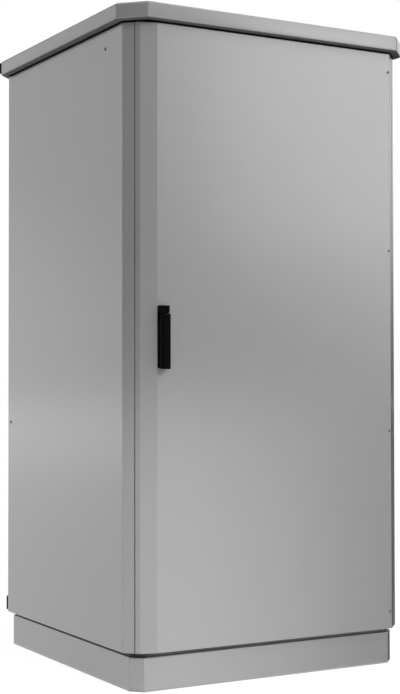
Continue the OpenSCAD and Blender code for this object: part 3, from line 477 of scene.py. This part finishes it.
def hinge_screw(length):
    """Flat lens head with a socket, and a nut behind the leaf."""
    shank, head, socket, flats = 1.95, 4.0, 1.3, 7.6
    tail, nut_h, head_h = 0.6, 2.4, 1.2
    nut = tail - length
    return [
        (-length, circle(shank - 0.45)),
        (nut - 0.1, circle(shank)),
        (nut, circle(shank)),
        (nut, hexagon(flats - 0.4, 0.95)),
        (nut + 0.3, hexagon(flats, 0.97)),
        (nut + nut_h - 0.3, hexagon(flats, 0.97)),
        (nut + nut_h, hexagon(flats - 0.4, 0.95)),
        (nut + nut_h, circle(shank)),
        (-head_h, circle(shank)),
        (-head_h, circle(head - 0.1)),
        (-head_h + 0.2, circle(head)),
        (-0.7, circle(head - 0.1)),
        (-0.3, circle(head - 0.7)),
        (-0.05, circle(head - 1.6)),
        (0, circle(head - 2.2)),
        (0, six_lobe(socket + 0.2)),
        (-0.15, six_lobe(socket + 0.05)),
        (-0.9, six_lobe(socket)),
    ]


def pan_screw(head_h, head, shank):
    """Domed pan head with a six-lobe socket."""
    def sections(length):
        return [
            (-length, circle(shank * 0.75)),
            (-length + 0.8, circle(shank)),
            (-head_h, circle(shank)),
            (-head_h, circle(head - 0.2)),
            (-head_h + 0.3, circle(head)),
            (-head_h * 0.45, circle(head)),
            (-head_h * 0.18, circle(head * 0.9)),
            (0, circle(head * 0.66)),
            (0, six_lobe(head * 0.48)),
            (-0.3, six_lobe(head * 0.43)),
            (-head_h * 0.6, six_lobe(head * 0.4)),
        ]
    return sections


def hex_bolt(head_h, flats, shank, washer_h=0.0, washer=0.0, nut_h=0.0, tail=0.0):
    """Hexagon head with a turned-down top, on a washer, with a nut that leaves a tail of thread."""
    def nut_rows(low):
        high = low + nut_h
        return [
            (low, circle(shank)),
            (low, circle(flats * 0.46)),
            (low + 0.9, hexagon(flats, 0.97)),
            (high - 0.9, hexagon(flats, 0.97)),
            (high, circle(flats * 0.46)),
            (high, circle(shank)),
        ]

    def washer_rows(low):
        high = low + washer_h
        return [
            (low, circle(washer - 0.3)),
            (low + 0.3, circle(washer)),
            (high - 0.3, circle(washer)),
            (high, circle(washer - 0.3)),
        ]

    def sections(length):
        rows = [(-length, circle(shank * 0.82)), (-length + 0.9, circle(shank))]
        if nut_h:
            rows += nut_rows(-length + tail)
        seat = -head_h - washer_h
        rows += [(seat, circle(shank))]
        if washer_h:
            rows += washer_rows(seat)
        return rows + [
            (-head_h, circle(flats * 0.47)),
            (-head_h + 0.4, hexagon(flats, 0.985)),
            (-1.0, hexagon(flats, 0.985)),
            (-0.35, circle(flats * 0.485)),
            (0, circle(flats * 0.455)),
            (0, circle(flats * 0.3)),
            (-0.4, circle(flats * 0.27)),
        ]
    return sections


def sideways(low, high):
    return "-x" if low.x < 0 else "+x"


def facing(way):
    return lambda low, high: way


fasteners("side_panel_screws", "cabinet", sideways, panel_screw, "black_zinc")
fasteners("rear_panel_screws", "cabinet", facing("+y"), panel_screw, "black_zinc")
fasteners("hinge_screws", "door", facing("-y"), hinge_screw, "black_zinc")
fasteners("gland_screws", "cabinet", facing("+z"), pan_screw(head_h=3.5, head=5, shank=2.45))
fasteners("earth_screws", "cabinet", facing("-y"), pan_screw(head_h=4, head=5.5, shank=2.95))
fasteners("roof_bolts", "cabinet", facing("+z"),
          hex_bolt(head_h=7, flats=16, shank=4.95, washer_h=2, washer=13, nut_h=9, tail=3))
fasteners("plinth_bolts", "cabinet", facing("+z"),
          hex_bolt(head_h=7.5, flats=18, shank=5.7, nut_h=10, tail=6))
fasteners("plate_bolts", "cabinet", facing("-y"), hex_bolt(head_h=5.5, flats=13, shank=3.95))


# Roof hood: folded from one sheet, with a rolled lower edge, a return lip and a crown, in millimetres
SHEET = 2
FASCIA = 50
RETURN_LIP = 23
ROLLED_EDGE = 5
TOP_EDGE = 7
CORNER_FOLD = 14
CROWN_START = 175
CROWN_FLAT = 60
LEAST_CUT = 6
CUT_PER_INSET = 2 - 2 ** 0.5


def folded_plan(half_x, half_y, cut, turn):
    """Rectangle with its corners cut off, and its eight folds turned to a radius."""
    x = half_x - cut
    y = half_y - cut
    corners = [(half_x, -y), (half_x, y), (x, half_y), (-x, half_y),
               (-half_x, y), (-half_x, -y), (-x, -half_y), (x, -half_y)]
    steps = POINTS // len(corners)
    fold = pi / 4
    back = turn / cos(fold / 2)
    points = []
    for i, (cx, cy) in enumerate(corners):
        mid = (i - 0.5) * fold
        for k in range(steps):
            a = (i - 1 + k / (steps - 1)) * fold
            points.append((cx - back * cos(mid) + turn * cos(a), cy - back * sin(mid) + turn * sin(a)))
    return points


def quarter(radius, steps=5):
    """Sine and cosine legs of a quarter turn."""
    return [(radius * sin(pi / 2 * i / steps), radius * cos(pi / 2 * i / steps)) for i in range(steps + 1)]


def roof_sheet():
    low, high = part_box("roof_hood")
    front_edge = [v.co.x for v in nodes["roof_hood"].data.vertices if v.co.y < low.y + MM / 10]
    cut = (high.x - max(front_edge)) / MM
    half_x = high.x / MM
    half_y = high.y / MM
    foot = low.z / MM
    top = high.z / MM
    rim = foot + FASCIA
    flat = half_x - CROWN_FLAT
    inside = [(flat, top - SHEET), (CROWN_START, rim - SHEET), (TOP_EDGE, rim - SHEET),
              (SHEET, rim - TOP_EDGE), (SHEET, foot + ROLLED_EDGE), (ROLLED_EDGE, foot + SHEET),
              (RETURN_LIP, foot + SHEET)]
    rolled = [(ROLLED_EDGE - u, foot + ROLLED_EDGE - v) for u, v in quarter(ROLLED_EDGE)]
    topped = [(TOP_EDGE - v, rim - TOP_EDGE + u) for u, v in quarter(TOP_EDGE)]
    outside = [(RETURN_LIP, foot)] + rolled + topped + [(CROWN_START, rim), (flat, top)]
    sections = []
    for inset, height in inside + outside:
        cut_here = max(LEAST_CUT, cut - inset * CUT_PER_INSET)
        turn = max(LEAST_CUT, CORNER_FOLD - inset)
        sections.append((height, folded_plan(half_x - inset, half_y - inset, cut_here, turn)))
    mesh = bmesh.new()
    loft(mesh, sections, Matrix.Identity(4))
    piece = finished(mesh, "roof_hood_folded", "body_paint")
    # The hood's down-facing faces carry painted shade: a dark matt grey.
    piece.material_slots[0].material = powder_coat("shade_painted_powder_coat", PAINT, painted_shade=HOOD_PAINTED_SHADE)
    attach(piece, "cabinet")
    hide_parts("roof_hood")


roof_sheet()


# Lip along the lock edge of the left side panel, in the seam beside the door, in millimetres
LIP_WIDE = 1.2
LIP_BACK = 0.3
LIP_DEEP = 3.0


def seam_lip():
    low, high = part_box("left_side_panel")
    tip = min((v.co for v in nodes["left_side_panel"].data.vertices), key=lambda co: co.y)
    across = Vector((1, -1, 0)).normalized() * MM
    inwards = Vector((1, 1, 0)).normalized() * MM
    corners = [(0, LIP_BACK), (0, LIP_DEEP), (LIP_WIDE, LIP_DEEP), (LIP_WIDE, LIP_BACK)]
    mesh = bmesh.new()
    rows = []
    for height in (low.z, high.z):
        foot = Vector((tip.x, tip.y, height))
        rows.append([mesh.verts.new(foot + across * u + inwards * v) for u, v in corners])
    joined(mesh, rows[0], rows[1])
    for row in rows:
        mesh.faces.new(row)
    bmesh.ops.recalc_face_normals(mesh, faces=mesh.faces)
    piece = finished(mesh, "side_panel_seam_lip", "body_paint")
    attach(piece, "cabinet")


seam_lip()


# Door seal: a D-shaped foam profile that runs round rounded corners
SEAL_WIDE = 12 * MM
SEAL_TURN = 18 * MM
DOME_STEPS = 14
TURN_STEPS = 10


def seal_profile(deep):
    """Points of the section: across the run and out from the door, with a shallow groove in its foot."""
    half = SEAL_WIDE / 2
    angles = [pi * i / DOME_STEPS for i in range(DOME_STEPS + 1)]
    dome = [(half * cos(a), deep * (0.42 + 0.58 * sin(a))) for a in angles]
    groove = [(-half * 0.3, 0.0), (-half * 0.2, deep * 0.08), (half * 0.2, deep * 0.08), (half * 0.3, 0.0)]
    return [(half * 0.96, 0.0)] + dome + [(-half * 0.96, 0.0)] + groove


def foam_seal():
    low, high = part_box("door_seal")
    left = low.x + SEAL_WIDE / 2
    right = high.x - SEAL_WIDE / 2
    foot = low.z + SEAL_WIDE / 2
    top = high.z - SEAL_WIDE / 2
    corners = [(right - SEAL_TURN, foot + SEAL_TURN, -90), (right - SEAL_TURN, top - SEAL_TURN, 0),
               (left + SEAL_TURN, top - SEAL_TURN, 90), (left + SEAL_TURN, foot + SEAL_TURN, 180)]
    section = seal_profile(high.y - low.y)
    mesh = bmesh.new()
    rows = []
    for cx, cz, start in corners:
        for i in range(TURN_STEPS + 1):
            a = radians(start + 90 * i / TURN_STEPS)
            x = cx + SEAL_TURN * cos(a)
            z = cz + SEAL_TURN * sin(a)
            rows.append([mesh.verts.new((x + u * cos(a), low.y + v, z + u * sin(a))) for u, v in section])
    for here, there in zip(rows, rows[1:] + rows[:1]):
        joined(mesh, here, there)
    bmesh.ops.recalc_face_normals(mesh, faces=mesh.faces)
    piece = finished(mesh, "door_seal_foam", "rubber", sharp=40)
    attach(piece, "door")
    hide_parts("door_seal")


foam_seal()


# Floor, walls, sky and lamps, in metres
FLOOR_HALF = 90
WALL_RADIUS = 60
WALL_HEIGHT = 50
WALL_SIDES = 96
FLAG_HEIGHT = 0.004
FAN_LEFT = 2.407
FAN_BACK = 3.261
Patch = namedtuple("Patch", "bearing height core edge strength")


def seen(f):
    """1 for what the camera sees directly, in gloss or through glass."""
    rays = [f.node("ShaderNodeLightPath", out=name) for name in
            ("Is Camera Ray", "Is Glossy Ray", "Is Transmission Ray")]
    return (rays[0] + rays[1] + rays[2]) > 0.5


def studio_floor():
    """White floor that keeps the cabinet's shadow."""
    made, f = material("white_floor")
    cast = f.node("ShaderNodeBsdfDiffuse", {}, {"Color": grey(0.16)})
    glow = f.node("ShaderNodeEmission", {}, {"Color": grey(1.0), "Strength": 0.95})
    pale = f.node("ShaderNodeBsdfDiffuse", {}, {"Color": grey(0.75)})
    shown = f.node("ShaderNodeAddShader", {}, {0: cast, 1: glow})
    f.surface(f.node("ShaderNodeMixShader", {}, {0: seen(f), 1: pale, 2: shown}))
    mesh = bmesh.new()
    bmesh.ops.create_grid(mesh, x_segments=2, y_segments=2, size=FLOOR_HALF)
    floor = placed(mesh, "floor", made)


def wall_glow(most, level, patches):
    """Dark walls with soft bright patches; levels and strengths are shares of the most.

    A patch has a compass bearing and a height, and the radii of its core and edge, in degrees.
    """
    made, f = material("studio_wall")
    way = f.node("ShaderNodeVectorMath", {"operation": "NORMALIZE"}, {0: f.place()})
    glow = level
    for patch in patches:
        bearing = radians(patch.bearing)
        height = radians(patch.height)
        aim = (sin(bearing) * cos(height), -cos(bearing) * cos(height), sin(height))
        near = f.node("ShaderNodeVectorMath", {"operation": "DOT_PRODUCT"}, {0: way, 1: aim}, "Value")
        spread = f.smooth(near, cos(radians(patch.edge)), cos(radians(patch.core)))
        glow = spread * patch.strength + glow
    colour = f.tint(grey(0.0), grey(1.0), glow)
    f.surface(f.node("ShaderNodeEmission", {}, {"Color": colour, "Strength": most}))
    return made


def studio_walls(finish):
    """Far walls round the set, for what the paint reflects."""
    mesh = bmesh.new()
    middle = Matrix.Translation((0, 0, WALL_HEIGHT / 2))
    bmesh.ops.create_cone(mesh, segments=WALL_SIDES, radius1=WALL_RADIUS, radius2=WALL_RADIUS,
                          depth=WALL_HEIGHT, matrix=middle)
    walls = placed(mesh, "walls", finish)
    walls.visible_camera = False


def floor_flag(name, corners, strength, shaded):
    """Sheet on the floor that only gloss sees; shaded gives its colour from a place on it."""
    made, f = material(name)
    spot = f.place()
    colour = shaded(f, f.axis(spot, "X"), f.axis(spot, "Y"))
    sheet = f.node("ShaderNodeEmission", {}, {"Color": colour, "Strength": strength})
    clear = f.node("ShaderNodeBsdfTransparent")
    f.surface(f.node("ShaderNodeMixShader", {}, {0: seen(f), 1: clear, 2: sheet}))
    mesh = bmesh.new()
    mesh.faces.new([mesh.verts.new((x, y, FLAG_HEIGHT)) for x, y in corners])
    flag = placed(mesh, name, made)
    flag.visible_camera = False


def front_shade(f, x, y):
    """The floor that the door mirrors darkens to the right, in a fan from a spot behind the door."""
    return f.tint(grey(1.0), grey(0.1), f.smooth((x + FAN_LEFT) / (FAN_BACK - y), 0.53, 0.79))


def rear_shade(f, x, y):
    """The floor that the hinge-side chamfer mirrors is dark."""
    return f.tint(grey(0.03), grey(0.06), f.smooth(y, 0.0, 40.0))


def left_shade(f, x, y):
    """The floor that the left side mirrors brightens with its distance."""
    return f.tint(grey(0.72), grey(1.0), f.smooth(y, 0.0, 18.0))


def studio_sky(level):
    """Even light from all round, in front of a white background."""
    world = bpy.data.worlds.new("studio")
    world.use_nodes = True
    world.node_tree.nodes.clear()
    bpy.context.scene.world = world
    f = Finish(world.node_tree)
    dim = f.node("ShaderNodeBackground", {}, {"Color": grey(1.0), "Strength": level})
    white = f.node("ShaderNodeBackground", {}, {"Color": grey(1.0), "Strength": 1.0})
    mixed = f.node("ShaderNodeMixShader", {}, {0: seen(f), 1: dim, 2: white})
    f.node("ShaderNodeOutputWorld", {}, {"Surface": mixed})


def softbox(name, spot, aim, size, power, mirrored=False):
    """Lamp of a width and a height; gloss shows it only where it is mirrored."""
    light = bpy.data.lights.new(name, "AREA")
    light.shape = "RECTANGLE"
    light.size, light.size_y = size
    light.energy = power
    lamp = bpy.data.objects.new(name, light)
    lamp.location = spot
    lamp.rotation_euler = (Vector(aim) - Vector(spot)).to_track_quat("-Z", "Y").to_euler()
    lamp.visible_camera = False
    lamp.visible_glossy = mirrored
    bpy.context.scene.collection.objects.link(lamp)


studio_floor()
studio_walls(wall_glow(most=1.2, level=0.06, patches=[
    Patch(bearing=44, height=17, core=9, edge=20, strength=0.85),
    Patch(bearing=-150, height=4, core=12, edge=40, strength=0.54),
    Patch(bearing=-162, height=-4, core=4, edge=16, strength=0.19),
    Patch(bearing=128, height=18, core=4, edge=17, strength=0.5),
]))
floor_flag("front_flag", strength=1.16, shaded=front_shade,
           corners=[(-0.62, -0.479), (16.0, -57.0), (42.0, -42.0), (59.0, -0.479)])
floor_flag("rear_flag", strength=1.0, shaded=rear_shade,
           corners=[(0.44, -0.477), (59.0, -0.477), (42.0, 42.0), (0.44, 59.0)])
floor_flag("left_flag", strength=1.2, shaded=left_shade,
           corners=[(-0.484, -0.47), (-0.484, 59.0), (-25.0, 53.0), (-50.0, 30.0), (-10.0, -0.47)])
studio_sky(level=0.42)
softbox("front_high_box", spot=(0.2, -6.0, 4.2), aim=(0.0, -0.5, 1.2), size=(2.0, 2.0), power=142)
softbox("right_front_box", spot=(2.9, -4.5, 2.6), aim=(0.1, -0.5, 1.6), size=(1.5, 1.7), power=1.9,
        mirrored=True)
softbox("right_high_box", spot=(2.6, -3.0, 5.0), aim=(0.1, -0.5, 1.6), size=(1.5, 1.5), power=41)
softbox("right_side_box", spot=(3.0, -1.6, 2.4), aim=(0.3, -0.5, 1.6), size=(1.2, 1.2), power=9.7)
softbox("low_front_strip", spot=(0.1, -1.15, 0.03), aim=(0.1, -0.48, 0.06), size=(1.0, 0.05), power=0.6)


# Camera
CAMERA_SPOT = (-2.40706, -4.26123, 0.91878)
CAMERA_TURN = (91.301, 0.07, -29.633)
SENSOR = 36.0
LENS = 74.756

camera = bpy.data.objects.new("camera", bpy.data.cameras.new("camera"))
camera.location = CAMERA_SPOT
camera.rotation_euler = [radians(turn) for turn in CAMERA_TURN]
camera.data.sensor_width = SENSOR
camera.data.lens = LENS
bpy.context.scene.collection.objects.link(camera)
bpy.context.scene.camera = camera
bpy.context.scene.view_settings.view_transform = "Standard"
